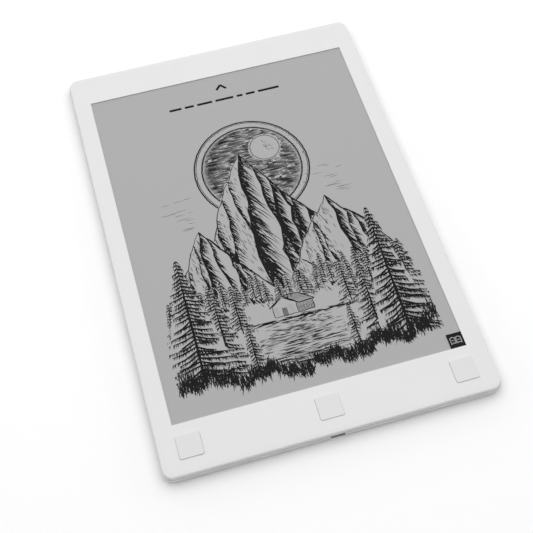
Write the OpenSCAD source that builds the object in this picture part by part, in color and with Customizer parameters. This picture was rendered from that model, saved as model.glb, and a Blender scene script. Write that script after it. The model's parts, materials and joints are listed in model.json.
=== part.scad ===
// E-reader: a thin slate with a matte e-paper screen, three square front keys,
// a power key on the top edge and a charging socket on the bottom edge.
// Millimetres. Origin at the middle of the underside, +Y to the top edge, +Z out of the screen.

/* [Body] */
// Overall width
body_w = 177; // [177:1:186]
// Overall length
body_l = 256; // [256:1:266]
// Overall thickness over the rear pads
body_t = 6.7; // [6.7:0.1:7.6]
// Radius of the four outer corners seen from the front
corner_r = 6; // [5.5:0.5:12]
// Radius that rounds the front edge over
edge_r = 1.4; // [1.2:0.1:2.2]
// Height of the seam between the rear shell and the front frame
seam_gap = 0.3; // [0.2:0.05:0.3]

/* [Screen] */
// Width of the visible screen
win_w = 156; // [150:0.2:157.2]
// Length of the visible screen
win_l = 208.2; // [200:0.1:209.7]
// How far the screen's middle sits above the body's middle
win_up = 3; // [2.5:0.1:4]

/* [Front keys] */
// Width of each square key
key_w = 12.4; // [11:0.1:12.6]
// Length of each square key
key_l = 12.1; // [11:0.1:12.2]
// Gap round each key
key_gap = 0.1; // [0.1:0.02:0.3]
// Corner radius of each key
key_r = 1; // [0.6:0.1:2]
// How far a key goes in
key_travel = 0.35; // [0.2:0.05:0.35]

/* [Edge fittings] */
// Width of the power key on the top edge
power_w = 13; // [9:0.5:16]
// How far the power key goes in
power_travel = 0.3; // [0.15:0.05:0.3]
// Width of the charging socket's mouth
usb_w = 7.5; // [7.3:0.1:7.8]

/* [Hidden] */
$fn = 72;
over = 1; // how far a cutting shape runs past the face it cuts
through = 6; // long enough to drill any board or plate here

// Heights of the layers, from the rear pads up
shell_z0 = 0.3;
floor_z = 1.2;
seam_z = 3.8;
rim_z = seam_z + seam_gap;
front_z = body_t;
face_t = 1;
lip_t = 0.35;
gasket_t = 0.14;
film_t = 0.35;
touch_t = 0.16;
panel_t = 0.6;
pen_t = 0.4;
shield_t = 0.1;
face_z = front_z - face_t;
lip_z = front_z - lip_t;
film_z = lip_z - gasket_t - film_t;
touch_z = film_z - touch_t;
panel_z = touch_z - panel_t;
pen_z = panel_z - pen_t;
plate_z = pen_z - shield_t;
board_z = 2.2;
board_t = 0.8;
board_top = board_z + board_t;

// Outlines
frame_in = 0.5;
frame_w = body_w - 2 * frame_in;
frame_l = body_l - 2 * frame_in;
frame_r = corner_r - frame_in;
frame_wall = 1.6;
edge_hip = [2.6, 0.2]; // the front face slopes a little beside its rounded edge
bay_w = frame_w - 2 * frame_wall;
bay_l = frame_l - 2 * frame_wall;
bay_r = frame_r - frame_wall;
rim_in = 1;
shell_wall = 1.5;
shell_edge_r = 2;
shell_bay_w = body_w - 2 * shell_wall;
shell_bay_l = body_l - 2 * shell_wall;
shell_bay_r = corner_r - shell_wall;
fit = 0.2; // slack between the plate and the front frame's walls

// Screen stack
lip_w = 2;
film_w = win_w + 2 * lip_w - 0.2;
film_l = win_l + 2 * lip_w - 0.2;
gasket_in = 0.6;
panel_side = 4;
panel_up = 4;
panel_down = 3.3;
win_y0 = win_up - win_l / 2;
win_y1 = win_up + win_l / 2;
panel_y0 = win_y0 - panel_down;
panel_y1 = win_y1 + panel_up;

// Front keys: the outer pair line up with the screen's side edges
key_x = win_w / 2 - key_w / 2 + key_gap;
key_xs = [-key_x, 0, key_x];
key_y = win_y0 - 12.15;
key_rise = 0.4; // the caps stand a little above the frame
key_edge_r = 0.1;
flange_out = 0.75;
flange_t = 0.4;
flange_z = face_z - 0.5;
guide_gap = 0.2;
guide_t = 0.8;
guide_z = face_z - 1;
nub_r = 1.5;
nub_z = flange_z - 0.3;
dome_r = 1.6;
dome_t = 0.15;
well_r = 1.75;
switch_w = 4.6;
switch_room = 0.3;
switch_top = nub_z - 0.1;
key_board_t = 0.6;
key_board_z = seam_z - key_board_t;

// Screws
screw_gap = 0.02;
frame_screw_r = 0.7;
frame_screw_head_r = 1.3;
frame_screw_head_t = 0.5;
frame_boss_r = 1.7;
frame_screw_spots = [[-36, key_y], [36, key_y], [-62, win_y1 + 12.5], [-24, win_y1 + 12.5],
    [24, win_y1 + 12.5], [62, win_y1 + 12.5]];
foot_x = 77.5;
foot_y = body_l / 2 - 12.5;
foot_r = 4.4;
foot_t = 0.7;
foot_spots = [[-foot_x, -foot_y], [foot_x, -foot_y], [-foot_x, foot_y], [foot_x, foot_y]];
shell_screw_r = 0.7;
shell_head_r = 1.5;
shell_head_z = foot_t;
shell_head_t = 0.6;
shell_boss_r = 2.8;
board_screw_r = 0.6;
board_x0 = -62;
board_x1 = 70;
board_y0 = -body_l / 2 + 2.5;
board_y1 = -77;
board_screw_spots = [[-57, board_y1 - 5], [0, board_y1 - 5], [57, board_y1 - 5],
    [-57, board_y0 + 5.5], [57, board_y0 + 5.5]];
board_post_r = 2;

// Power key, in the top wall
wall_y = shell_bay_l / 2;
power_x = 0;
power_zc = 2.6;
power_t = 1.4;
power_out = 0.35;
power_gap = 0.12;
power_flange = 0.9;
power_flange_t = 0.5;
power_flange_y = wall_y - 0.1 - power_flange_t;
plunger_w = 2;
plunger_t = 0.9;
plunger_l = 1.6;
plunger_gap = 0.08;
power_body_w = 5;
power_body_l = 3.4;
power_body_t = 1.9;
power_body_y = power_flange_y - power_travel - 0.15;

// Charging socket, in the bottom wall
usb_zc = 2.52;
usb_h = 2.4;
usb_wall = 0.25;
usb_l = 5.2;
usb_y0 = -body_l / 2 + 0.5;
usb_hole_gap = 0.15;
tongue_w = 3.7;
tongue_t = 0.6;
tongue_l = 3.6;
pin_pitch = 0.65;
pin_w = 0.35;
pin_t = 0.08;

// Soft panel let into the rear shell
back_w = 138;
back_l = 212;
back_r = 4;
back_t = 0.3;
back_gap = 0.1;

// Inside parts
rib_t = 0.8;
rib_h = 0.8;
rib_ys = [64, 80, 96];
rib_l = 120;
batt_w = 112;
batt_l = 108;
batt_t = 2.3;
batt_y = -8;
tape_t = 0.1;
sheet_t = 0.1;
flex_t = 0.12;
cable_x = 66;
cable_r = 0.45;
can_w = 40;
can_l = 26;
can_t = 0.15;
can_x = -24;
can_y = -101;
can_z = floor_z + 0.15;
antenna_x0 = -60;
antenna_x1 = -24;
antenna_y = 112;
strip_w = 1.6;
batt_socket_x = -14;
batt_socket_y = -80;
lead_y0 = -86;
lead_count = 3;
lead_pitch = 2.5;

white = [0.9, 0.9, 0.9];
grey = [0.62, 0.63, 0.64];
dark = [0.12, 0.12, 0.13];
metal = [0.75, 0.76, 0.78];
green = [0.08, 0.3, 0.2];
amber = [0.75, 0.45, 0.12];
gold = [0.8, 0.63, 0.25];

// A rectangle with rounded corners, about the origin
module rounded_rect(w, l, r) {
    square([w - 2 * r, l], center = true);
    square([w, l - 2 * r], center = true);
    for (sx = [-1, 1], sy = [-1, 1])
        translate([sx * (w / 2 - r), sy * (l / 2 - r)])
            circle(r);
}

// A flat plate with rounded corners between two heights
module slab(w, l, r, z0, z1) {
    translate([0, 0, z0])
        linear_extrude(z1 - z0)
            rounded_rect(w, l, r);
}

// A box between two corners
module span(lo, hi) {
    translate(lo)
        cube(hi - lo);
}

// What a side view may fill. With a hip of [in, fall], the top slopes down by fall over the last stretch
// of length in at both ends, which leaves a faint crease on the top face.
module hipped_view(w, h, hip) {
    if (hip[0] > 0)
        polygon([[-w / 2, 0], [w / 2, 0], [w / 2, h - hip[1]], [w / 2 - hip[0], h], [hip[0] - w / 2, h],
            [-w / 2, h - hip[1]]]);
    else
        translate([-w / 2, 0])
            square([w, h]);
}

// The side view of a plate whose top edges are rounded with radius r
module edge_view(w, h, r, hip = [0, 0]) {
    intersection() {
        union() {
            translate([-w / 2, 0])
                square([w, h - r]);
            translate([r - w / 2, 0])
                square([w - 2 * r, h]);
            for (s = [-1, 1])
                translate([s * (w / 2 - r), h - r])
                    circle(r);
        }
        hipped_view(w, h, hip);
    }
}

// The same, for one side only and w wide, to be turned into a rounded corner
module corner_view(w, h, r, hip = [0, 0]) {
    intersection() {
        edge_view(2 * w, h, r, hip);
        square([w, h]);
    }
}

// A plate with rounded corners of radius r whose top edge is rounded over all round with radius e
module pillow(w, l, h, r, e, hip = [0, 0]) {
    rotate([90, 0, 0])
        linear_extrude(l - 2 * r, center = true)
            edge_view(w, h, e, hip);
    rotate([90, 0, 90])
        linear_extrude(w - 2 * r, center = true)
            edge_view(l, h, e, hip);
    for (sx = [-1, 1], sy = [-1, 1])
        translate([sx * (w / 2 - r), sy * (l / 2 - r), 0])
            rotate_extrude()
                corner_view(r, h, e, hip);
}

// A ring wall round a key
module key_guide(x) {
    inner_w = key_w + 2 * (flange_out + guide_gap);
    inner_l = key_l + 2 * (flange_out + guide_gap);
    translate([x, key_y, 0])
        difference() {
            slab(inner_w + 2 * guide_t, inner_l + 2 * guide_t, key_r, guide_z, face_z);
            slab(inner_w, inner_l, key_r, guide_z - over, face_z + over);
        }
}

module front_frame() {
    color(white) {
        difference() {
            translate([0, 0, rim_z])
                pillow(frame_w, frame_l, front_z - rim_z, frame_r, edge_r, edge_hip);
            slab(bay_w, bay_l, bay_r, rim_z - over, face_z);
            translate([0, win_up, 0])
                slab(win_w, win_l, 0.2, rim_z, front_z + over);
            translate([0, win_up, 0])
                slab(win_w + 2 * lip_w, win_l + 2 * lip_w, 0.5, rim_z, lip_z);
            for (x = key_xs)
                translate([x, key_y, 0])
                    slab(key_w + 2 * key_gap, key_l + 2 * key_gap, key_r + key_gap, rim_z, front_z + over);
            // room over the driver chips and over the touch layer's tail
            span([-chip_reach - relief, driver_y - 1, rim_z], [chip_reach + relief, panel_y1 + relief, face_z + relief]);
            span([tails[2][0] - relief, tail_y0, rim_z],
                [tails[2][0] + tails[2][1] + relief, win_y0 - lip_w + over, face_z + relief]);
        }
        for (x = key_xs)
            key_guide(x);
        for (p = frame_screw_spots)
            translate([p[0], p[1], plate_z])
                difference() {
                    cylinder(r = frame_boss_r, h = face_z - plate_z);
                    translate([0, 0, -over])
                        cylinder(r = frame_screw_r + screw_gap, h = over + 0.9);
                }
    }
}

module power_outline(gap) {
    translate([power_x, 0, power_zc])
        rotate([90, 0, 0])
            linear_extrude(2 * shell_wall + 2 * over, center = true)
                rounded_rect(power_w + 2 * gap, power_t + 2 * gap, power_t / 2 + gap - 0.01);
}

module rear_shell() {
    color(white)
        difference() {
            union() {
                difference() {
                    translate([0, 0, seam_z])
                        mirror([0, 0, 1])
                            pillow(body_w, body_l, seam_z - shell_z0, corner_r, shell_edge_r);
                    slab(shell_bay_w, shell_bay_l, shell_bay_r, floor_z, seam_z + over);
                }
                for (p = foot_spots)
                    translate([p[0], p[1], shell_z0])
                        cylinder(r = shell_boss_r, h = seam_z - shell_z0);
                // low ribs round the battery bay and across the floor above it
                for (s = [-1, 1])
                    translate([s * (batt_w / 2 + 1), batt_y, floor_z])
                        cube([rib_t, batt_l, 2 * rib_h], center = true);
                translate([0, batt_y + batt_l / 2 + 1, floor_z])
                    cube([batt_w, rib_t, 2 * rib_h], center = true);
                for (y = rib_ys)
                    translate([0, y, floor_z])
                        cube([rib_l, rib_t, 2 * rib_h], center = true);
            }
            for (p = foot_spots)
                translate([p[0], p[1], 0]) {
                    cylinder(r = foot_r + 0.05, h = foot_t);
                    cylinder(r = shell_head_r + 0.1, h = shell_head_z + shell_head_t);
                    cylinder(r = shell_screw_r + screw_gap, h = seam_z + over);
                }
            slab(back_w, back_l, back_r, 0, shell_z0 + back_t);
            translate([0, wall_y, 0])
                power_outline(power_gap);
            span([-usb_w / 2 - usb_hole_gap, -body_l / 2 - over, usb_zc - usb_h / 2 - usb_hole_gap],
                [usb_w / 2 + usb_hole_gap, -shell_bay_l / 2 + over, seam_z + over]);
        }
}

module rear_panel() {
    color(grey)
        slab(back_w - 2 * back_gap, back_l - 2 * back_gap, back_r - back_gap, shell_z0 - 0.05, shell_z0 + back_t);
}

module rear_feet() {
    color(dark)
        for (p = foot_spots)
            translate([p[0], p[1], foot_t])
                mirror([0, 0, 1])
                    rotate_extrude()
                        corner_view(foot_r, foot_t, 0.25);
}

// Cut-outs that let the tails of the screen layers through the plate
tail_y1 = panel_y0 + 0.1;
tail_y0 = tail_y1 - 2.2;

module mid_frame() {
    color(metal)
        difference() {
            union() {
                slab(body_w - 2 * rim_in, body_l - 2 * rim_in, corner_r - rim_in, seam_z, rim_z);
                slab(bay_w - 2 * fit, bay_l - 2 * fit, bay_r - fit, seam_z, plate_z);
                for (p = board_screw_spots)
                    translate([p[0], p[1], board_top])
                        cylinder(r = board_post_r, h = seam_z - board_top);
            }
            for (x = key_xs)
                translate([x, key_y, seam_z])
                    cube([switch_w + 2 * switch_room, switch_w + 2 * switch_room, through], center = true);
            for (t = tails)
                span([t[0] - 1, tail_y0, seam_z - over], [t[0] + t[1] + 1, tail_y1, plate_z + over]);
            for (p = frame_screw_spots)
                translate([p[0], p[1], seam_z - over])
                    cylinder(r = frame_screw_r + screw_gap, h = through);
            for (p = foot_spots)
                translate([p[0], p[1], seam_z - over])
                    cylinder(r = shell_screw_r + screw_gap, h = through);
            for (p = board_screw_spots)
                translate([p[0], p[1], board_top - over])
                    cylinder(r = board_screw_r + screw_gap, h = through);
        }
}

module screen_gasket() {
    color(dark)
        translate([0, win_up, 0])
            difference() {
                slab(film_w, film_l, 0.4, lip_z - gasket_t, lip_z);
                slab(win_w + 2 * gasket_in, win_l + 2 * gasket_in, 0.2, film_z, front_z);
            }
}

module cover_film() {
    color([0.7, 0.7, 0.7])
        translate([0, win_up, 0])
            slab(film_w, film_l, 0.4, film_z, film_z + film_t);
}

module touch_sensor() {
    color([0.5, 0.55, 0.6])
        translate([0, win_up, 0])
            slab(film_w, film_l, 0.4, touch_z, touch_z + touch_t);
}

module display_panel() {
    color([0.66, 0.66, 0.64])
        span([-win_w / 2 - panel_side, panel_y0, panel_z], [win_w / 2 + panel_side, panel_y1, panel_z + panel_t]);
}

// The driver chips sit on the panel's top margin, under the front frame
driver_y = win_up + film_l / 2 + 0.6;
driver_l = 24;
driver_xs = [-54, -18, 18, 54];
chip_reach = driver_xs[3] + driver_l / 2;
relief = 0.4;

module display_driver() {
    color(dark)
        for (x = driver_xs)
            translate([x - driver_l / 2, driver_y, panel_z + panel_t])
                cube([driver_l, 1.1, 0.25]);
}

module pen_board() {
    color(green)
        span([-win_w / 2 - panel_side, panel_y0, pen_z], [win_w / 2 + panel_side, panel_y1, pen_z + pen_t]);
}

module pen_shield() {
    color(metal)
        span([-win_w / 2 - panel_side, panel_y0, plate_z], [win_w / 2 + panel_side, panel_y1, plate_z + shield_t]);
}

// Each tail: start in x, width, how far out it drops, height it leaves at, the edge it leaves
tails = [[-56, 14, 0.55, panel_z + 0.2, panel_y0], [16, 12, 0.3, pen_z + 0.1, panel_y0],
    [44, 12, 0.8, touch_z, win_up - film_l / 2]];
conn_y = -98.5;
conn_l = 3;
conn_t = 0.65;

// A flat tail that leaves a layer, drops through the plate and runs back to its connector
module tail(t) {
    drop = tail_y1 - 0.35 - t[2];
    low = board_top + 0.3;
    pts = [[t[4], t[3]], [t[4], t[3] + flex_t], [drop, t[3] + flex_t], [drop - flex_t, t[3]],
        [drop - flex_t, low + flex_t], [drop, low], [conn_y + conn_l / 2, low],
        [conn_y + conn_l / 2, low + flex_t], [drop + flex_t, low + flex_t], [drop, low + 2 * flex_t],
        [drop, t[3]]];
    translate([t[0], 0, 0])
        rotate([90, 0, 90])
            linear_extrude(t[1])
                polygon(pts);
}

module display_flex() {
    color(amber)
        tail(tails[0]);
}

module pen_flex() {
    color(amber)
        tail(tails[1]);
}

module touch_flex() {
    color(amber)
        tail(tails[2]);
}

// A square front key: cap, flange that keeps it in, and the nub that presses its switch
module front_key(x) {
    cap_top = front_z + key_rise;
    color(white)
        translate([x, key_y, 0]) {
            translate([0, 0, flange_z + flange_t])
                pillow(key_w, key_l, cap_top - flange_z - flange_t, key_r, key_edge_r);
            slab(key_w + 2 * flange_out, key_l + 2 * flange_out, key_r, flange_z, flange_z + flange_t);
            translate([0, 0, nub_z])
                cylinder(r = nub_r, h = flange_z - nub_z);
        }
}

module left_key() {
    front_key(key_xs[0]);
}

module home_key() {
    front_key(key_xs[1]);
}

module right_key() {
    front_key(key_xs[2]);
}

// A snap dome that the nub pushes into its switch
module snap_dome(x) {
    color(metal)
        translate([x, key_y, nub_z - dome_t])
            cylinder(r = dome_r, h = dome_t);
}

module left_dome() {
    snap_dome(key_xs[0]);
}

module home_dome() {
    snap_dome(key_xs[1]);
}

module right_dome() {
    snap_dome(key_xs[2]);
}

module key_board() {
    color(green)
        difference() {
            span([-80, key_y - 5.5, key_board_z], [80, key_y + 4.5, seam_z]);
            for (p = frame_screw_spots)
                translate([p[0], p[1], key_board_z - over])
                    cylinder(r = 2, h = through);
            for (p = board_screw_spots)
                translate([p[0], p[1], key_board_z - over])
                    cylinder(r = 2.2, h = through);
            for (s = [-1, 1])
                translate([s * foot_x, -foot_y, key_board_z - over])
                    cylinder(r = shell_boss_r + 0.3, h = through);
        }
}

module key_switches() {
    color(dark)
        for (x = key_xs)
            translate([x, key_y, seam_z])
                difference() {
                    translate([-switch_w / 2, -switch_w / 2, 0])
                        cube([switch_w, switch_w, switch_top - seam_z]);
                    translate([0, 0, 0.2])
                        cylinder(r = well_r, h = switch_top);
                }
}

module key_flex() {
    color(amber)
        span([-60, key_y + 4.5, key_board_z], [-57.5, conn_y + conn_l / 2, key_board_z + flex_t]);
}

module power_key() {
    color(white) {
        translate([power_x, 0, power_zc])
            rotate([90, 0, 0]) {
                translate([0, 0, -body_l / 2 - power_out])
                    linear_extrude(body_l / 2 + power_out - power_flange_y - power_flange_t)
                        rounded_rect(power_w, power_t, power_t / 2 - 0.01);
                translate([0, 0, -power_flange_y - power_flange_t])
                    linear_extrude(power_flange_t)
                        square([power_w + 2 * power_flange, power_t + 0.6], center = true);
            }
    }
}

module power_plunger() {
    color(dark)
        span([power_x - plunger_w / 2, power_flange_y - plunger_l, power_zc - plunger_t / 2],
            [power_x + plunger_w / 2, power_flange_y, power_zc + plunger_t / 2]);
}

module power_switch() {
    hole_w = plunger_w / 2 + plunger_gap;
    hole_t = plunger_t / 2 + plunger_gap;
    hole_l = plunger_l + power_travel;
    color(metal)
        difference() {
            span([power_x - power_body_w / 2, power_body_y - power_body_l, power_zc - power_body_t / 2],
                [power_x + power_body_w / 2, power_body_y, power_zc + power_body_t / 2]);
            span([power_x - hole_w, power_flange_y - hole_l, power_zc - hole_t],
                [power_x + hole_w, power_body_y + over, power_zc + hole_t]);
        }
}

power_board_z = power_zc + power_body_t / 2;

module power_board() {
    color(green)
        span([power_x - 14, power_body_y - 5, power_board_z], [power_x + 14, power_body_y, power_board_z + 0.2]);
}

module power_flex() {
    flex_z = power_board_z + 0.2 - flex_t;
    flex_y = power_body_y - 3;
    color(amber) {
        span([power_x + 14, flex_y, flex_z], [cable_x, flex_y + 2.5, flex_z + flex_t]);
        span([cable_x - 2.5, conn_y, flex_z], [cable_x, flex_y, flex_z + flex_t]);
    }
}

module main_board() {
    notch_w = usb_w / 2 + 0.2;
    notch_y = usb_y0 + usb_l;
    color(green)
        difference() {
            span([board_x0, board_y0, board_z], [board_x1, board_y1, board_top]);
            span([-notch_w, board_y0 - over, board_z - over], [notch_w, notch_y, board_top + over]);
            for (p = board_screw_spots)
                translate([p[0], p[1], board_z - over])
                    cylinder(r = board_screw_r + 0.1, h = through);
        }
}

// Sockets on the board's inner side: one for each tail, the power key, the battery and the keys
module board_connectors() {
    color(dark) {
        for (c = tails)
            difference() {
                span([c[0] - 1, conn_y - conn_l / 2, board_top],
                    [c[0] + c[1] + 1, conn_y + conn_l / 2, board_top + conn_t]);
                span([c[0], conn_y - conn_l / 2 - over, board_top + 0.3],
                    [c[0] + c[1], conn_y + conn_l / 2 + over, board_top + 0.3 + flex_t]);
            }
        span([cable_x - 4, conn_y - 3, board_top], [cable_x + 1, conn_y, power_board_z + 0.2 - flex_t]);
        span([batt_socket_x - 5, batt_socket_y - 4, board_top], [batt_socket_x + 5, batt_socket_y, board_top + conn_t]);
    }
}

module chip(x, y, w, l, t) {
    translate([x - w / 2, y - l / 2, board_z - t])
        cube([w, l, t]);
}

module processor() {
    color(dark)
        chip(can_x - 9, can_y, 14, 14, 0.6);
}

module memory_chips() {
    color(dark) {
        chip(can_x + 8, can_y + 5, 10, 8, 0.5);
        chip(can_x + 8, can_y - 5, 10, 8, 0.5);
    }
}

module power_chip() {
    color(dark)
        chip(20, -104, 7, 7, 0.6);
}

module shield_can() {
    color(metal)
        difference() {
            span([can_x - can_w / 2, can_y - can_l / 2, can_z], [can_x + can_w / 2, can_y + can_l / 2, board_z]);
            span([can_x - can_w / 2 + can_t, can_y - can_l / 2 + can_t, can_z + can_t],
                [can_x + can_w / 2 - can_t, can_y + can_l / 2 - can_t, board_z + over]);
        }
}

module radio_module() {
    color(metal)
        chip(44, -96, 14, 12, 0.8);
}

// A folded strip: two arms joined at one end, with a stub at the other
module antenna() {
    arm_gap = 4;
    top = floor_z + flex_t;
    color(gold) {
        for (y = [antenna_y, antenna_y + arm_gap])
            span([antenna_x0, y, floor_z], [antenna_x1, y + strip_w, top]);
        span([antenna_x0 - strip_w, antenna_y, floor_z], [antenna_x0, antenna_y + arm_gap + strip_w, top]);
        span([antenna_x1, antenna_y + arm_gap, floor_z], [antenna_x1 + strip_w, antenna_y + 9, top]);
    }
}

// The thin round lead from the board's edge to the antenna
module antenna_cable() {
    lead_z = floor_z + cable_r + flex_t;
    lead_y1 = antenna_y + 2.8;
    color(dark) {
        translate([-cable_x, lead_y0, lead_z])
            rotate([-90, 0, 0])
                cylinder(r = cable_r, h = lead_y1 - lead_y0);
        for (y = [lead_y0, lead_y1])
            translate([-cable_x, y, lead_z]) {
                sphere(cable_r);
                rotate([0, 90, 0])
                    cylinder(r = cable_r, h = cable_x + board_x0);
            }
    }
}

module heat_sheet() {
    color([0.2, 0.2, 0.21])
        span([board_x0 + 6, board_y0 + 1.5, floor_z], [board_x1 - 18, board_y1 - 7, floor_z + sheet_t]);
}

// The socket's rolled shell: a wide mouth with its two lower corners cut back
module usb_outline(w, h) {
    cut = 0.9;
    polygon([[-w / 2, h / 2], [w / 2, h / 2], [w / 2, -h / 2 + cut], [w / 2 - cut, -h / 2],
        [-w / 2 + cut, -h / 2], [-w / 2, -h / 2 + cut]]);
}

module usb_shell() {
    color(metal)
        translate([0, usb_y0 + usb_l, usb_zc])
            rotate([90, 0, 0])
                difference() {
                    linear_extrude(usb_l)
                        usb_outline(usb_w, usb_h);
                    translate([0, 0, usb_wall])
                        linear_extrude(usb_l)
                            usb_outline(usb_w - 2 * usb_wall, usb_h - 2 * usb_wall);
                }
}

tongue_z = usb_zc + 0.1;
tongue_y1 = usb_y0 + usb_l - usb_wall;

module usb_tongue() {
    color(dark)
        span([-tongue_w / 2, tongue_y1 - tongue_l, tongue_z], [tongue_w / 2, tongue_y1, tongue_z + tongue_t]);
}

module usb_contacts() {
    color(gold)
        for (i = [-2:2])
            span([i * pin_pitch - pin_w / 2, tongue_y1 - tongue_l + 0.3, tongue_z - pin_t],
                [i * pin_pitch + pin_w / 2, tongue_y1, tongue_z]);
}

module battery_cell() {
    color(grey)
        translate([0, batt_y, seam_z - tape_t - batt_t])
            linear_extrude(batt_t)
                rounded_rect(batt_w, batt_l, 1.5);
}

module battery_tape() {
    color(dark)
        for (s = [-1, 1])
            translate([s * batt_w / 4, batt_y, seam_z - tape_t / 2])
                cube([12, batt_l - 16, tape_t], center = true);
}

batt_y0 = batt_y - batt_l / 2;
batt_board_l = 4;

module battery_board() {
    color(green)
        span([-26, batt_y0 - batt_board_l, board_top - 0.2], [26, batt_y0, board_top + 0.4]);
}

module battery_cable() {
    lead_r = 0.3;
    color([0.55, 0.08, 0.06])
        for (i = [0:lead_count - 1])
            translate([batt_socket_x - lead_pitch + lead_pitch * i, batt_socket_y, board_top + lead_r])
                rotate([-90, 0, 0])
                    cylinder(r = lead_r, h = batt_y0 - batt_board_l - batt_socket_y);
}

module frame_screws() {
    color(metal)
        for (p = frame_screw_spots)
            translate([p[0], p[1], seam_z - frame_screw_head_t]) {
                cylinder(r = frame_screw_head_r, h = frame_screw_head_t);
                cylinder(r = frame_screw_r, h = frame_screw_head_t + plate_z - seam_z + 0.8);
            }
}

module shell_screws() {
    color(metal)
        for (p = foot_spots)
            translate([p[0], p[1], shell_head_z]) {
                cylinder(r = shell_head_r, h = shell_head_t);
                cylinder(r = shell_screw_r, h = plate_z - shell_head_z - 0.1);
            }
}

module board_screws() {
    color(metal)
        for (p = board_screw_spots)
            translate([p[0], p[1], board_z - 0.5]) {
                cylinder(r = 1.2, h = 0.5);
                cylinder(r = board_screw_r, h = seam_z - board_z + 1);
            }
}

front_frame();
rear_shell();
rear_panel();
rear_feet();
mid_frame();
screen_gasket();
cover_film();
touch_sensor();
display_panel();
display_driver();
pen_board();
pen_shield();
display_flex();
pen_flex();
touch_flex();
left_key();
home_key();
right_key();
left_dome();
home_dome();
right_dome();
key_board();
key_switches();
key_flex();
power_key();
power_plunger();
power_switch();
power_board();
power_flex();
main_board();
board_connectors();
processor();
memory_chips();
power_chip();
shield_can();
radio_module();
antenna();
antenna_cable();
heat_sheet();
usb_shell();
usb_tongue();
usb_contacts();
battery_cell();
battery_tape();
battery_board();
battery_cable();
frame_screws();
shell_screws();
board_screws();
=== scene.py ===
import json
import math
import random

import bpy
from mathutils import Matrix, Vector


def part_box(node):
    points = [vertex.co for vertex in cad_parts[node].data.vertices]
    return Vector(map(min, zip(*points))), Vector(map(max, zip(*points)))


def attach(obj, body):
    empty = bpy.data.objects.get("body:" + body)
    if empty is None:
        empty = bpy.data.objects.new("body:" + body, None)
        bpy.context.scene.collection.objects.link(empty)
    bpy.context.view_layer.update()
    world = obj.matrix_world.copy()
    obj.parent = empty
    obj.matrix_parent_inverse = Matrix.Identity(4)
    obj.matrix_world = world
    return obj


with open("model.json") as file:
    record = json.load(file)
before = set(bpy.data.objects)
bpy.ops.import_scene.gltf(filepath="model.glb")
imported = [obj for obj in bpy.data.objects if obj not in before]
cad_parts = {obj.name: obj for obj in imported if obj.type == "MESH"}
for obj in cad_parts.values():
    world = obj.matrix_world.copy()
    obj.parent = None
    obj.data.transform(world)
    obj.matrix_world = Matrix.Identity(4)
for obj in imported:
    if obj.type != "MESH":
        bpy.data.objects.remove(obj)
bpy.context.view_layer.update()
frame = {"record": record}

# %% [markdown]
# # A thin e-reader with an ink drawing on its screen
# The mechanical parts arrive as finished solids: frame, rear shell, keys, screen layers, boards
# and battery. Two kinds of work are left for Blender. One is the finish of every part, and the
# other is the picture that the e-paper shows. All sizes are in metres, and the drawing is planned
# in millimetres.

MM = 0.001
film_lo, film_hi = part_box("cover_film")
print("screen film:", film_lo, film_hi)

# %% [markdown]
# ## The view
# A flat slate is best shown from above one shoulder and through a fairly long lens, so that its
# long sides converge only a little. The camera's place and turn are set by numbers, because a
# tracked empty would leave out the slight roll of a camera held by hand.

# %% Camera
CAMERA_AT = (-0.07498, -0.25821, 0.4492)
CAMERA_TURN = (28.424, 0.712, -15.813)  # degrees about X, Y and Z
LENS, SENSOR = 62.98, 36  # millimetres
SIDE_SHIFT = 0.0254  # of the sensor's width
bpy.ops.object.camera_add(location=CAMERA_AT, rotation=[math.radians(a) for a in CAMERA_TURN])
camera = bpy.context.object
camera.name = "view"
camera.data.lens = LENS
camera.data.sensor_width = SENSOR
camera.data.shift_x = SIDE_SHIFT
bpy.context.scene.camera = camera
print("camera stands", round(math.dist(CAMERA_AT, (0, 0, 0)), 3), "m from the reader's middle")

# %% [markdown]
# ## Light and floor
# White goods on a white ground need light that comes mostly from above: the flat faces then stay
# just under white and the thin vertical edges fall to grey, which is what shows the shape. One big
# soft panel does that. It hangs a little behind the top edge. Low boxes stand around the reader,
# and each gives little light. Their rays graze the floor and give part of the wide pale shadow
# that a light tent gives; the rest of that shadow is painted into the floor's colour. The box in
# front is the weakest, because the near side must stay grey.

# %% Soft panels, sky and floor
def softbox(name, at, wide, tall, watts):
    """A rectangular light that faces the origin."""
    bpy.ops.object.light_add(type="AREA", location=at)
    lamp = bpy.context.object
    lamp.name = name
    lamp.data.shape = "RECTANGLE"
    lamp.data.size = wide
    lamp.data.size_y = tall
    lamp.data.energy = watts
    tilt = math.atan2(math.hypot(at[0], at[1]), at[2])
    swing = math.atan2(at[0], -at[1])
    lamp.rotation_euler = (tilt, 0, swing)


PANEL_WATTS = 28.6
LEFT_WATTS = 4.8
RIGHT_WATTS = 4.6
BACK_WATTS = 3.6
FRONT_WATTS = 0.3
PANEL = (2.4, 2.4)  # width and height in metres
BOX = (1.6, 0.6)
FAR, UP = 1.4, 0.38  # how far from the reader the low boxes stand, and how high
softbox("soft_panel", (0.03, 0.16, 1.2), *PANEL, PANEL_WATTS)
softbox("left_box", (-FAR, 0.5, UP), *BOX, LEFT_WATTS)
softbox("right_box", (FAR, 0.35, UP), *BOX, RIGHT_WATTS)
softbox("back_box", (0.0, FAR, UP), *BOX, BACK_WATTS)
softbox("front_box", (0.4, -FAR, UP), *BOX, FRONT_WATTS)

SKY = 0.045
world = bpy.data.worlds.new("even_sky")
world.use_nodes = True
background = world.node_tree.nodes["Background"]
background.inputs["Color"].default_value = (1, 1, 1, 1)
background.inputs["Strength"].default_value = SKY
bpy.context.scene.world = world
bpy.context.scene.view_settings.view_transform = "Standard"

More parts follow.
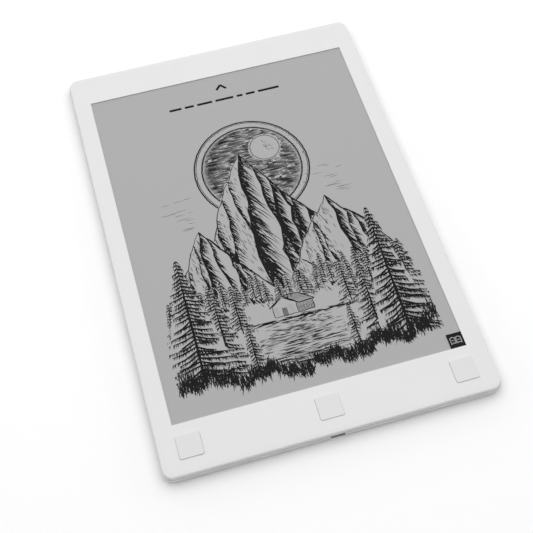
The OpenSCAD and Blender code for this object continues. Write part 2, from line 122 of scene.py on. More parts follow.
FLOOR_WIDE = 8  # metres
bpy.ops.mesh.primitive_plane_add(size=FLOOR_WIDE, location=(0, 0, 0))
floor = bpy.context.object
floor.name = "floor"
print("panel", PANEL_WATTS, "W, sky", SKY)

# %% [markdown]
# ## Helpers for materials
# Every finish here starts from the same four steps: make a material, find its Principled BSDF,
# read Object coordinates, and scale a texture to a real size. Object coordinates are in metres, so
# a noise of scale 1000 has grains about a millimetre across.

# %% Material helpers
finish = {}


def new_material(name, color, roughness, metallic=0.0):
    """Makes a material with plain values on its shader, and keeps it in finish by its name."""
    material = bpy.data.materials.new(name)
    material.use_nodes = True
    shader = material.node_tree.nodes["Principled BSDF"]
    shader.inputs["Base Color"].default_value = (*color, 1)
    shader.inputs["Roughness"].default_value = roughness
    shader.inputs["Metallic"].default_value = metallic
    finish[name] = material
    return material.node_tree, shader


def add(tree, kind, **values):
    """A node with its input values set by name."""
    node = tree.nodes.new(kind)
    for name, value in values.items():
        node.inputs[name.replace("_", " ")].default_value = value
    return node


def place(tree):
    """The Object coordinates socket, made once in each tree."""
    for node in tree.nodes:
        if node.type == "TEX_COORD":
            return node.outputs["Object"]
    return tree.nodes.new("ShaderNodeTexCoord").outputs["Object"]


def mix_colors(tree, mask, low, high):
    """A colour between two, by a mask. Each of the two is a plain colour or a socket."""
    mix = tree.nodes.new("ShaderNodeMix")
    mix.data_type = "RGBA"
    tree.links.new(mask, mix.inputs["Factor"])
    for name, color in (("A", low), ("B", high)):
        if isinstance(color, bpy.types.NodeSocket):
            tree.links.new(color, mix.inputs[name])
        else:
            mix.inputs[name].default_value = (*color, 1)
    return mix.outputs["Result"]


def spread(tree, value, low, high):
    """A 0 to 1 value spread over another range."""
    node = tree.nodes.new("ShaderNodeMapRange")
    tree.links.new(value, node.inputs["Value"])
    node.inputs["To Min"].default_value = low
    node.inputs["To Max"].default_value = high
    return node.outputs["Result"]


def bump(tree, shader, height, distance):
    """Raises the surface by a height that varies over it."""
    node = add(tree, "ShaderNodeBump", Strength=1.0, Distance=distance)
    tree.links.new(height, node.inputs["Height"])
    tree.links.new(node.outputs["Normal"], shader.inputs["Normal"])


# %% [markdown]
# ## Two shared effects
# Moulded plastic, rubber and the screen film all carry a fine even grain, and all of them pick up
# a few specks of dust. Each effect is a node group, built once, so that its size can be set where
# it is used. The grain holds a fine noise for the bump and a broad one for the tone. The specks
# are the few cells of a Voronoi pattern whose random value is low, each shrunk to a small dot.

# %% Grain group
def make_group(name, inputs, outputs):
    """An empty node group with these sockets, and its two end nodes."""
    group = bpy.data.node_groups.new(name, "ShaderNodeTree")
    for socket, kind, value in inputs:
        item = group.interface.new_socket(name=socket, in_out="INPUT", socket_type=kind)
        if value is not None:
            item.default_value = value
    for socket, kind in outputs:
        group.interface.new_socket(name=socket, in_out="OUTPUT", socket_type=kind)
    return group, group.nodes.new("NodeGroupInput"), group.nodes.new("NodeGroupOutput")


grain, g_in, g_out = make_group(
    "moulded_grain",
    [("Vector", "NodeSocketVector", None), ("Grains per metre", "NodeSocketFloat", 2500.0)],
    [("Height", "NodeSocketFloat"), ("Mottle", "NodeSocketFloat")],
)
fine = add(grain, "ShaderNodeTexNoise", Detail=3.0, Roughness=0.6)
grain.links.new(g_in.outputs["Vector"], fine.inputs["Vector"])
grain.links.new(g_in.outputs["Grains per metre"], fine.inputs["Scale"])
broad = add(grain, "ShaderNodeTexNoise", Scale=45.0, Detail=4.0, Roughness=0.55)
grain.links.new(g_in.outputs["Vector"], broad.inputs["Vector"])
grain.links.new(fine.outputs["Fac"], g_out.inputs["Height"])
grain.links.new(broad.outputs["Fac"], g_out.inputs["Mottle"])

# %% Speck group
def compute(tree, operation, a, b):
    """One step of arithmetic on two sockets."""
    node = tree.nodes.new("ShaderNodeMath")
    node.operation = operation
    tree.links.new(a, node.inputs[0])
    tree.links.new(b, node.inputs[1])
    return node.outputs["Value"]


specks, s_in, s_out = make_group(
    "dust_specks",
    [("Vector", "NodeSocketVector", None), ("Cells per metre", "NodeSocketFloat", 260.0),
     ("Share", "NodeSocketFloat", 0.12), ("Dot size", "NodeSocketFloat", 0.09)],
    [("Mask", "NodeSocketFloat")],
)
cells = specks.nodes.new("ShaderNodeTexVoronoi")
specks.links.new(s_in.outputs["Vector"], cells.inputs["Vector"])
specks.links.new(s_in.outputs["Cells per metre"], cells.inputs["Scale"])
split = specks.nodes.new("ShaderNodeSeparateColor")
specks.links.new(cells.outputs["Color"], split.inputs["Color"])
chosen = compute(specks, "LESS_THAN", split.outputs["Red"], s_in.outputs["Share"])
dot = compute(specks, "LESS_THAN", cells.outputs["Distance"], s_in.outputs["Dot size"])
specks.links.new(compute(specks, "MULTIPLY", chosen, dot), s_out.inputs["Mask"])


def use_group(tree, group, **values):
    """A group node that reads Object coordinates, with its input values set by name."""
    node = tree.nodes.new("ShaderNodeGroup")
    node.node_tree = group
    tree.links.new(place(tree), node.inputs["Vector"])
    for name, value in values.items():
        node.inputs[name.replace("_", " ")].default_value = value
    return node


print("groups:", [g.name for g in bpy.data.node_groups])

# %% [markdown]
# ## The plastics and rubbers
# The housing is injection-moulded in white, with a fine spark-eroded grain that kills reflections.
# The grain shows as a slight unevenness in the sheen, and a few specks sit in it. The same recipe
# with other numbers gives the keys, the soft rear panel, the feet and the small black mouldings
# inside.

# %% Moulded finishes
SHEEN = 0.06  # how far the roughness strays to either side


def moulded(name, color, roughness, per_metre, depth, dirt=0.86, share=0.10, vary=0.02):
    """Grained plastic or rubber. A share of the speck cells show, in the colour times dirt."""
    tree, shader = new_material(name, color, roughness)
    texture = use_group(tree, grain, Grains_per_metre=per_metre)
    dust = use_group(tree, specks, Share=share)
    mottle = texture.outputs["Mottle"]
    clean = mix_colors(tree, mottle, [c * (1 - vary) for c in color],
                       [min(1, c * (1 + vary)) for c in color])
    dusty = mix_colors(tree, dust.outputs["Mask"], clean, [c * dirt for c in color])
    tree.links.new(dusty, shader.inputs["Base Color"])
    tree.links.new(spread(tree, mottle, roughness - SHEEN, roughness + SHEEN),
                   shader.inputs["Roughness"])
    bump(tree, shader, texture.outputs["Height"], depth)


moulded("frame_white", (0.75, 0.75, 0.75), 0.52, 2600, 0.00002)
moulded("shell_white", (0.74, 0.74, 0.74), 0.55, 2200, 0.00003)
moulded("key_white", (0.713, 0.713, 0.713), 0.52, 3000, 0.000015)
moulded("back_panel", (0.47, 0.47, 0.468), 0.72, 1700, 0.00004, dirt=1.15)
moulded("feet_rubber", (0.07, 0.07, 0.07), 0.82, 1500, 0.00004, dirt=2.2, share=0.3)
moulded("gasket_foam", (0.03, 0.03, 0.03), 0.95, 3500, 0.00006, dirt=1.5)
moulded("switch_plastic", (0.05, 0.05, 0.05), 0.5, 3000, 0.00001, dirt=1.6)
moulded("tongue_plastic", (0.02, 0.02, 0.02), 0.42, 3000, 0.00001, dirt=1.6)
moulded("chip_black", (0.03, 0.03, 0.034), 0.6, 4500, 0.00002, dirt=1.5)
moulded("tape_black", (0.03, 0.03, 0.03), 0.7, 1200, 0.00002, dirt=1.5)
moulded("lead_black", (0.03, 0.03, 0.03), 0.4, 2000, 0.00001, dirt=1.5)
moulded("lead_red", (0.4, 0.02, 0.015), 0.4, 2000, 0.00001, dirt=0.7)
print("moulded finishes:", len(finish))

# %% [markdown]
# ## The metals
# Rolled and plated sheet carries faint lines along one direction, and die-cast metal a cloudy
# skin. A noise that is stretched by a Mapping node gives the lines. The stretch is a tenth, so a
# line is about ten times as long as it is wide. The noise changes the tone, the roughness and a
# very small bump.

# %% Metal finishes
LINE_TONE = 0.88  # how much darker the lines are
LINE_SHEEN = 0.1  # how far their roughness strays to either side


def sheet_metal(name, color, roughness, stretch=0.1, scale=1500, depth=0.000006):
    """Bare metal with fine lines along X, or with a cloudy skin where stretch is one."""
    tree, shader = new_material(name, color, roughness, metallic=1.0)
    turn = tree.nodes.new("ShaderNodeMapping")
    turn.inputs["Scale"].default_value = (stretch, 1, 1)
    tree.links.new(place(tree), turn.inputs["Vector"])
    lines = add(tree, "ShaderNodeTexNoise", Scale=scale, Detail=4.0, Roughness=0.6)
    tree.links.new(turn.outputs["Vector"], lines.inputs["Vector"])
    tree.links.new(mix_colors(tree, lines.outputs["Fac"], [c * LINE_TONE for c in color], color),
                   shader.inputs["Base Color"])
    tree.links.new(spread(tree, lines.outputs["Fac"], roughness - LINE_SHEEN, roughness + LINE_SHEEN),
                   shader.inputs["Roughness"])
    bump(tree, shader, lines.outputs["Fac"], depth)


sheet_metal("chassis_metal", (0.5, 0.5, 0.51), 0.48, stretch=1, scale=240, depth=0.00004)
sheet_metal("shield_steel", (0.62, 0.62, 0.61), 0.34)
sheet_metal("dome_steel", (0.66, 0.66, 0.67), 0.25)
sheet_metal("socket_steel", (0.5, 0.5, 0.51), 0.36)
sheet_metal("screw_steel", (0.35, 0.35, 0.36), 0.4, stretch=1)
sheet_metal("contact_brass", (0.78, 0.57, 0.2), 0.3)
sheet_metal("battery_foil", (0.6, 0.61, 0.62), 0.42, stretch=1, scale=90, depth=0.00006)
print("finishes so far:", len(finish))

# %% [markdown]
# ## Boards, tails and the layers under the screen
# A circuit board is dark green solder mask over copper tracks, and the tracks show as slightly
# lighter, slightly raised bands. A brick pattern with wide gaps makes believable tracks and ground
# areas. The polyimide tails carry straight parallel tracks, so one direction of a wave is enough
# for them.

# %% Board and tail finishes
tree, shader = new_material("board_green", (0.02, 0.12, 0.07), 0.38)
tracks = add(tree, "ShaderNodeTexBrick", Scale=260.0, Mortar_Size=0.06, Mortar_Smooth=0.1,
             Brick_Width=1.4, Row_Height=0.35)
tree.links.new(place(tree), tracks.inputs["Vector"])
tree.links.new(mix_colors(tree, tracks.outputs["Fac"], (0.018, 0.105, 0.06), (0.04, 0.2, 0.11)),
               shader.inputs["Base Color"])
tree.links.new(spread(tree, tracks.outputs["Fac"], 0.36, 0.5), shader.inputs["Roughness"])
bump(tree, shader, tracks.outputs["Fac"], 0.00003)

tree, shader = new_material("flex_amber", (0.45, 0.2, 0.03), 0.28)
wires = add(tree, "ShaderNodeTexWave", Scale=300.0, Distortion=0.0)
wires.bands_direction = "X"
tree.links.new(place(tree), wires.inputs["Vector"])
tree.links.new(mix_colors(tree, wires.outputs["Fac"], (0.32, 0.12, 0.02), (0.55, 0.27, 0.05)),
               shader.inputs["Base Color"])
bump(tree, shader, wires.outputs["Fac"], 0.00002)

moulded("graphite", (0.05, 0.05, 0.052), 0.45, 900, 0.00003, dirt=1.6, vary=0.15)
moulded("touch_glass", (0.52, 0.54, 0.55), 0.12, 300, 0.000002, dirt=0.9)
moulded("panel_glass", (0.42, 0.42, 0.41), 0.2, 300, 0.000002, dirt=0.9)
print("finishes so far:", len(finish))

# %% [markdown]
# ## The e-paper
# Electronic ink is a layer of tiny capsules, each partly black and partly white, behind a film
# that is etched so that a pen drags on it. It looks like grey paper: flat, without a glare,
# faintly speckled where capsules disagree. Three scales build it: the capsules, a soft unevenness
# left by the last page, and a few specks of dust.

# %% Screen film
PAPER = (0.396, 0.396, 0.396)
FILM_ROUGH = 0.62
tree, shader = new_material("screen_film", PAPER, FILM_ROUGH)
texture = use_group(tree, grain, Grains_per_metre=3800)
dust = use_group(tree, specks, Share=0.16, Cells_per_metre=300)
capsules = add(tree, "ShaderNodeTexNoise", Scale=2100.0, Detail=2.0, Roughness=0.7)
tree.links.new(place(tree), capsules.inputs["Vector"])
paper = mix_colors(tree, spread(tree, capsules.outputs["Fac"], -0.4, 1.4),
                   [c * 0.95 for c in PAPER], [c * 1.05 for c in PAPER])
last_page = mix_colors(tree, texture.outputs["Mottle"], (0.975, 0.975, 0.975), (1.0, 1.0, 1.0))
ghost = tree.nodes.new("ShaderNodeMix")
ghost.data_type = "RGBA"
ghost.blend_type = "MULTIPLY"
ghost.inputs["Factor"].default_value = 1.0
tree.links.new(paper, ghost.inputs["A"])
tree.links.new(last_page, ghost.inputs["B"])
dusty = mix_colors(tree, dust.outputs["Mask"], ghost.outputs["Result"], [c * 0.82 for c in PAPER])
tree.links.new(dusty, shader.inputs["Base Color"])
tree.links.new(spread(tree, texture.outputs["Mottle"], FILM_ROUGH - SHEEN, FILM_ROUGH + SHEEN),
               shader.inputs["Roughness"])
bump(tree, shader, texture.outputs["Height"], 0.000015)

# %% Every loaded part gets the finish of its slot
slot_of = {part["node"]: part["material_slot"] for part in frame["record"]["subparts"]}
for node, slot in slot_of.items():
    part = bpy.data.objects[node]
    for entry in part.material_slots:
        entry.material = finish[slot]
print("finished", len(slot_of), "parts with", len(finish), "finishes")

# %% [markdown]
# ## Floor paper with a painted shadow
# The floor is a sheet of white paper. A wide, faint shadow is painted into its colour around
# whatever lies on it, in place of the shade that light grazing the sheet would leave there. The
# ambient occlusion node measures how much of the sky each spot has lost to the nearby reader, and
# the paper's colour is painted a little darker where that is more.

# %% Floor paper with a painted shadow
# Painted shadow: near the reader the floor's colour goes towards this grey, by how much sky the
# ambient occlusion node finds lost.
PAINTED_SHADOW_GREY = (0.85, 0.85, 0.85)
PAINTED_SHADOW_REACH = 0.04  # metres from the reader
PAINTED_SHADOW_FALL = -2.5  # so the paper is darkest where less than 0.71 of the sky is left
tree, shader = new_material("floor_pale_painted_shadow", (0.99, 0.99, 0.99), 0.9)
cloud = add(tree, "ShaderNodeTexNoise", Scale=1.5, Detail=2.0)
tree.links.new(place(tree), cloud.inputs["Vector"])
paper = mix_colors(tree, cloud.outputs["Fac"], (0.985, 0.985, 0.985), (0.995, 0.995, 0.995))
painted_shadow_ao = add(tree, "ShaderNodeAmbientOcclusion", Distance=PAINTED_SHADOW_REACH)
sky_left = spread(tree, painted_shadow_ao.outputs["AO"], PAINTED_SHADOW_FALL, 1.0)
tree.links.new(mix_colors(tree, sky_left, PAINTED_SHADOW_GREY, paper), shader.inputs["Base Color"])
floor.data.materials.append(finish["floor_pale_painted_shadow"])

# %% [markdown]
# ## The drawing, stroke by stroke
# The page shows a pen drawing: a hut by a lake, firs, three peaks and a round night sky. It is
# drawn as a person would, with separate strokes that swell and taper. The nearest things are drawn
# first. Each one leaves its outline behind, and a later stroke stops where it meets one, so
# nothing has to be rubbed out. A stroke is a list of points with a width at each.

# %% Pen, outlines and tapering
SEED = 7
PAGE_HALF = 71.0  # millimetres to either side of the page's middle
PAGE_LOW, PAGE_HIGH = -99.0, 70.0
SWELL, TAPER = 0.25, 0.5  # shares of a stroke's length
chance = random.Random(SEED)
nearer = []
strokes = []


def crosses(outline, x, y):
    """True where a point lies inside an outline."""
    odd = False
    for (x1, y1), (x2, y2) in zip(outline, outline[1:] + outline[:1]):
        if (y1 > y) != (y2 > y) and x < (x2 - x1) * (y - y1) / (y2 - y1) + x1:
            odd = not odd
    return odd


def hide_behind(outline):
    """Later strokes stop at this outline."""
    xs = [p[0] for p in outline]
    ys = [p[1] for p in outline]
    nearer.append((min(xs), max(xs), min(ys), max(ys), outline))


def in_view(x, y):
    """True where a point lies on the page and nothing drawn earlier covers it."""
    if abs(x) > PAGE_HALF or not PAGE_LOW < y < PAGE_HIGH:
        return False
    return not any(x0 < x < x1 and y0 < y < y1 and crosses(outline, x, y)
                   for x0, x1, y0, y1, outline in nearer)


def pen(points, width, start=0.4, end=0.15, keep=lambda x, y: True):
    """Draws one stroke, which swells from start to full width and tapers to end."""
    last = len(points) - 1
    run = []
    for i, (x, y) in enumerate(points):
        seen = in_view(x, y) and keep(x, y)
        if seen:
            t = i / last
            grown = start + (1 - start) * min(1, t / SWELL)
            left = end + (1 - end) * min(1, (1 - t) / TAPER)
            run.append((x, y, width * (grown * left)))
        if run and (not seen or i == last):
            if len(run) > 1:
                strokes.append(run)
            run = []


# %% Lines, rings and broken ridges
def line(a, b, step=1.2, bow=0.0, shake=0.0):
    """Points from a to b, which can bow to one side and shake a little."""
    length = max(math.dist(a, b), 0.001)
    n = max(2, int(length / step) + 1)
    points = []
    for i in range(n):
        t = i / (n - 1)
        off = bow * math.sin(math.pi * t)
        if shake and 0 < i < n - 1:
            off += chance.gauss(0, shake) / max(length, 1)
        points.append((a[0] + (b[0] - a[0]) * t - (b[1] - a[1]) * off,
                       a[1] + (b[1] - a[1]) * t + (b[0] - a[0]) * off))
    return points


def through(points, step=1.0):
    """One even line through corner points."""
    out = []
    for a, b in zip(points, points[1:]):
        out += line(a, b, step)[:-1]
    return out + [points[-1]]


def ring(cx, cy, r, a0=0, a1=360, step=1.2, shake=0.0):
    """Points along an arc, between two angles in degrees."""
    n = max(6, int(math.radians(a1 - a0) * r / step))
    turns = [math.radians(a0 + (a1 - a0) * i / n) for i in range(n + 1)]
    return [(cx + (r + chance.gauss(0, shake)) * math.cos(a),
             cy + (r + chance.gauss(0, shake)) * math.sin(a)) for a in turns]


def jagged(a, b, depth, rough):
    """A broken line from a to b. Each half is split again, and shorter halves stray less."""
    if depth == 0:
        return [a]
    throw = rough * math.dist(a, b)
    middle = ((a[0] + b[0]) / 2 + chance.uniform(-throw, throw) * 0.6,
              (a[1] + b[1]) / 2 + chance.uniform(-throw, throw))
    return jagged(a, middle, depth - 1, rough) + jagged(middle, b, depth - 1, rough)


# %% [markdown]
# ### Grass and firs
# A fir is a trunk with rows of drooping boughs that get longer towards the ground. Short needles
# hang from every bough and nearly reach the next row. The side away from the light has more of
# them. Only the size and the place change from tree to tree, so one function draws the whole wood.

# %% Grass along the near bank
LAND = 70  # millimetres to either side
BANK_Y = -94.5
TUFT_STEP = 2
TUFT_BLADES = 17
BANK_STROKES = 420


def grass(x0, x1, y, tall, count, width):
    """A tuft of bent blades."""
    for _ in range(count):
        gx = chance.uniform(x0, x1)
        gy = y + chance.gauss(0, tall * 0.22)
        high = tall * chance.uniform(0.4, 1.1)
        bend = chance.gauss(0, 0.25) * high
        pen([(gx, gy), (gx + bend * 0.35, gy + high * 0.6), (gx + bend, gy + high)],
            width * chance.uniform(0.7, 1.3), 1.0, 0.15)


def bank(x):
    """The height of the near bank, which rises towards both sides."""
    return (BANK_Y + 2.2 * math.sin(x * 0.21) + 1.3 * math.sin(x * 0.57 + 1)
            + 7 * (x / LAND) ** 2)


for x in range(-68, 69, TUFT_STEP):
    grass(x - 1.4, x + 2.4, bank(x) + 2, 5.5 + 3 * abs(x) / LAND, TUFT_BLADES, 0.55)
for _ in range(BANK_STROKES):
    x = chance.uniform(-LAND, LAND)
    low = bank(x) - abs(chance.gauss(0, 1.8))
    pen(line((x, bank(x) + 2.5), (x + chance.uniform(-2.5, 2.5), low), 1.2), 0.6, 0.9, 0.1)
ink_bank = strokes
strokes = []
print("bank:", len(ink_bank), "strokes")


# %% Firs, the nearest and tallest first
def fir(x, y, high):
    """One tree, drawn from the top down. It then hides what is drawn after it."""
    half = high * chance.uniform(0.19, 0.25)
    gap = 1.2 + 0.012 * high
    rows = int(high * 0.93 / gap)
    lean = chance.uniform(-0.02, 0.02) * high
    for i in range(rows):
        t = (i + 0.4) / rows
        yt = y + high * (1 - t * 0.93)
        xt = x + lean * (1 - t)
        for side in (-1, 1):
            shaded = side > 0
            reach = half * t ** 0.8 * chance.uniform(0.55, 1.15) + 0.5
            drop = reach * chance.uniform(0.12, 0.45)
            pen([(xt, yt + 0.2), (xt + side * reach * 0.5, yt - drop * 0.7),
                 (xt + side * reach, yt - drop)], 0.5 + 0.008 * high, 0.9, 0.3)
            for _ in range(1 + int(reach * (4.0 if shaded else 2.4))):
                s = chance.uniform(0.0, 1.0)
                nx, ny = xt + side * reach * s, yt - drop * s * (1.8 - 0.8 * s)
                long = gap * chance.uniform(0.5, 1.25)
                pen([(nx, ny), (nx + side * long * chance.uniform(0.0, 0.55), ny - long)],
                    0.42 + 0.002 * high, 0.9, 0.3)
    pen(line((x, y - 0.6), (x + lean, y + high), 2.0), 0.45 + 0.013 * high, 1.0, 0.2)
    hem, skirt = y + high * 0.1, y + high * 0.24
    hide_behind([(x - half * 0.95, hem), (x - half * 0.8, skirt), (x + lean, y + high),
                 (x + half * 0.8, skirt), (x + half * 0.95, hem), (x + 0.5, y), (x - 0.5, y)])


NEAR_FIRS = [(-56, -88, 74), (54, -90, 80), (-41, -90, 52), (39, -91, 50), (-64, -90, 50),
             (64, -91, 56), (-28, -90, 30), (27, -91, 27), (-49, -86, 40), (47, -88, 38)]
for x, y, high in NEAR_FIRS:
    fir(x, y, high)


# %% [markdown]
# ### The hut
# A hut gives the scene its scale. Its front, side and roof are outlines with a few shaky lines
# across them for planks and boards. The strokes stand closest on the side away from the light.

# %% Hut by the lake
PLANKS, SIDING, BOARDS, DOOR, BRICKS = 6, 15, 13, 7, 4  # how many lines fill each area


def hut(x, y, wall=13.0, high=6.4, deep=9.0):
    """A hut whose front wall has its lower left corner at x and y."""
    eave = y + high - 0.7
    ridge_y = y + high + 5.2
    back = x + wall + deep
    ridge = [(x + wall / 2, ridge_y), (x + wall / 2 + deep, ridge_y)]
    roof = [(x - 1.6, eave), *ridge, (back + 1.2, eave + 0.3), (x + wall + 1.4, eave)]
    front = [(x, y), (x, y + high), (x + wall / 2, y + high + 4.2), (x + wall, y + high),
             (x + wall, y), (x, y)]
    side = [(x + wall, y), (back, y + 0.6), (back, y + high)]
    verge = [ridge[0], roof[4]]
    for outline, width in ((front, 0.55), (side, 0.55), (roof, 0.8), (verge, 0.9)):
        for a, b in zip(outline, outline[1:]):
            pen(line(a, b, 1.2, shake=0.08), width, 0.8, 0.8)
    for k in range(1, PLANKS):
        plank = y + high * k / PLANKS
        pen(line((x + 0.3, plank), (x + wall * 0.3, plank), shake=0.05), 0.25, 0.7, 0.4)
        pen(line((x + wall * 0.62, plank), (x + wall - 0.3, plank), shake=0.05), 0.25, 0.7, 0.4)
    for k in range(SIDING):
        xx = x + wall + 0.4 + k * deep / SIDING
        pen(line((xx, y + 0.2), (xx, y + high - 0.4), shake=0.05), 0.42, 0.9, 0.7)
    for k in range(1, BOARDS):
        s = k / BOARDS
        board = line((verge[0][0] + deep * s, ridge_y), (verge[1][0] + (deep - 0.4) * s, eave),
                     shake=0.05)
        pen(board, 0.3, 0.9, 0.7)
    for k in range(DOOR):
        xx = x + wall * (0.36 + 0.22 * (k + 0.5) / DOOR)
        pen(line((xx, y), (xx, y + high * 0.72)), 0.4, 1, 1)
    chimney, foot, top = x + wall * 0.75, y + high + 3.4, y + high + 8
    flue = [(chimney, foot), (chimney, top), (chimney + 2, top), (chimney + 2, foot)]
    for a, b in zip(flue, flue[1:]):
        pen(line(a, b), 0.5, 1, 1)
    for k in range(BRICKS):
        course = y + high + 4.2 + k
        pen(line((chimney, course), (chimney + 2, course)), 0.35, 1, 1)
    hide_behind(front[:3] + [*ridge, roof[3], side[1], (x + wall, y)])
    hide_behind(flue)


hut(-12, -62)

# %% The wood behind, and the lake
MIDDLE_FIRS, FAR_FIRS = 34, 40
CLEARING = (-20, 18)  # around the hut
LAKE_LOW, LAKE_TOP, SHORE_Y = -91, -65, -64
LAKE_DEEP = 25
LAKE_STROKES, SHORE_STROKES = 560, 110
for _ in range(MIDDLE_FIRS):
    x = chance.uniform(-66, 66)
    if not CLEARING[0] < x < CLEARING[1]:
        fir(x, -66 + chance.uniform(-3, 3) + abs(x) * 0.05, chance.uniform(20, 31))
for _ in range(FAR_FIRS):
    x = chance.uniform(-62, 62)
    fir(x, -50 + chance.uniform(-2.5, 2.5) - (4 if abs(x) < 14 else 0), chance.uniform(11, 17))
ink_wood = strokes
strokes = []

# The lake lies behind the wood, and its strokes become part of the peaks' ink.
for _ in range(LAKE_STROKES):
    y = chance.uniform(LAKE_LOW, LAKE_TOP)
    depth = (LAKE_TOP - y) / LAKE_DEEP
    half = 16 + 22 * depth
    x = chance.gauss(0, half * 0.55)
    long = chance.uniform(2, 9) * (0.6 + depth)
    if abs(x) < half:
        ripple = line((x - long / 2, y), (x + long / 2, y), 1.6, shake=0.05)
        pen(ripple, chance.uniform(0.34, 0.6), 0.2, 0.2)
for _ in range(SHORE_STROKES):
    x = chance.uniform(-34, 34)
    start = (x - 3, SHORE_Y + chance.gauss(0, 0.6))
    pen(line(start, (x + 3, SHORE_Y + chance.gauss(0, 0.6)), 1.4), 0.55, 0.3, 0.3)
print("wood:", len(ink_wood), "strokes")


# %% [markdown]
# ### The peaks
# A peak is drawn from its skyline. Spurs run down from it, each with strokes that fall away on its
# shaded side, and the lit side gets only short loose marks. The strokes leave the spur at about
# sixty degrees, and they grow longer lower down, where the slope is wider.

# %% Peaks
def peak(left, apex, right, base, rough=0.1, spurs=(4, 4)):
    """A peak between two feet. It has so many side spurs on the lit and on the shaded face."""
    up = jagged(left, apex, 5, rough) + [apex]
    down = jagged(apex, right, 5, rough) + [right]
    skyline = up[:-1] + down
    pen(through(up), 0.65, 0.6, 0.6)
    pen(through(down), 0.9, 0.6, 0.6)
    span = right[0] - left[0]

    def top(x):
        """The height of the skyline."""
        for (x1, y1), (x2, y2) in zip(skyline, skyline[1:]):
            if x1 <= x <= x2:
                return y1 + (y2 - y1) * (x - x1) / max(x2 - x1, 1e-6)
        return base

    def spur(start, end, reach, gap, width, gaps=0.1):
        """A ridge line with strokes down its shaded side, a few of them left out."""
        back = through(jagged(start, end, 4, 0.13) + [end], gap)
        pen(back, width, 0.8, 0.3, keep=lambda x, y: y < top(x) + 0.2)
        for i, (px, py) in enumerate(back):
            if chance.random() < gaps:
                continue
            long = reach * (0.45 + 0.9 * i / len(back)) * chance.uniform(0.35, 1.2)
            for steep, share in ((-56, 1.0), (-74, 0.55)):
                angle = math.radians(chance.gauss(steep, 5))
                foot = (px + share * long * math.cos(angle), py + share * long * math.sin(angle))
                pen(line((px, py), foot, 1.3, bow=0.05), chance.uniform(0.5, 0.8), 0.9, 0.15,
                    keep=lambda x, y: base < y < top(x))

    spur(apex, (apex[0] + chance.uniform(-0.08, 0.02) * span, base), 0.2 * span, 0.55, 0.8)
    for _ in range(spurs[0]):
        sx, sy = up[chance.randrange(5, len(up) - 5)]
        end = (sx + chance.uniform(-3, 9), base + chance.uniform(0, 8))
        spur((sx, sy), end, 0.09 * span, 0.62, 0.5, 0.2)
    for _ in range(spurs[1]):
        sx, sy = down[chance.randrange(3, len(down) - 6)]
        end = (sx + chance.uniform(0, 10), base + chance.uniform(0, 6))
        spur((sx, sy), end, 0.13 * span, 0.58, 0.6)
    x = apex[0]
    while x < right[0]:
        if chance.random() < 0.8:
            long = chance.uniform(3, 10)
            fall = line((x, top(x)), (x + long * 0.55, top(x) - long), 1.3, bow=0.04)
            pen(fall, chance.uniform(0.35, 0.6), 0.9, 0.1, keep=lambda px, py: py > base)
        x += chance.uniform(0.5, 0.9)
    x = left[0]
    while x < apex[0]:
        if chance.random() < 0.55:
            long = chance.uniform(1.5, 5)
            pen(line((x, top(x)), (x - long * 0.3, top(x) - long), 1.3), 0.34, 0.9, 0.1)
        x += chance.uniform(0.8, 1.6)
    # Loose marks fill the lit face, and lean a little the other way.
    for _ in range(int(span * 5)):
        px = chance.uniform(left[0], apex[0])
        py = chance.uniform(base, top(px))
        long = chance.uniform(1.5, 5.5)
        mark = line((px, py), (px + chance.uniform(0.1, 0.5) * long, py - long), 1.2)
        pen(mark, chance.uniform(0.3, 0.55), 0.6, 0.1)
    hide_behind(skyline + [(right[0], base), (left[0], base)])


BASE = -52
peak((-66, -46), (-38, 0), (-8, -42), BASE)
peak((2, -44), (36, 4), (67, -46), BASE)
peak((-56, -40), (-3, 44), (54, -40), BASE, rough=0.09, spurs=(7, 6))
ink_peaks = strokes
strokes = []
print("peaks:", len(ink_peaks), "strokes")

# %% [markdown]
# ### The night sky
# The sky is a disc in a double rim. Rows of horizontal strokes fill it, and the gaps between them
# fall in a different place in every row, so no seam shows. The moon and the stars are simply left
# out of the hatching: each puts down its outline before the rows are drawn.

# %% Rim, moon, stars and hatching
SKY_X, SKY_Y, SKY_R = 2, 33, 33
RIM = 4.2
RIM_FROM, RIM_TO = -62, 242  # degrees, and the peaks stand in the rest
RIM_TICKS, CRATERS, MOON_TICKS, STARS = 190, 7, 34, 34
RIM_LINES = ((SKY_R, 0.95), (SKY_R - 0.9, 0.5), (SKY_R - RIM, 0.8), (SKY_R - RIM - 0.6, 0.45))
for r, width in RIM_LINES:
    pen(ring(SKY_X, SKY_Y, r, RIM_FROM, RIM_TO, 1.0, 0.07), width, 1, 1)
for _ in range(RIM_TICKS):
    turn = math.radians(chance.uniform(-60, 240))
    if chance.random() < 0.3 + 0.6 * max(0, math.cos(turn)):
        r = SKY_R - (RIM if chance.random() < 0.5 else 2.2)
        tick = [(SKY_X + d * math.cos(turn), SKY_Y + d * math.sin(turn)) for d in (r, r + 1.8)]
        pen(tick, 0.32, 1, 0.3)

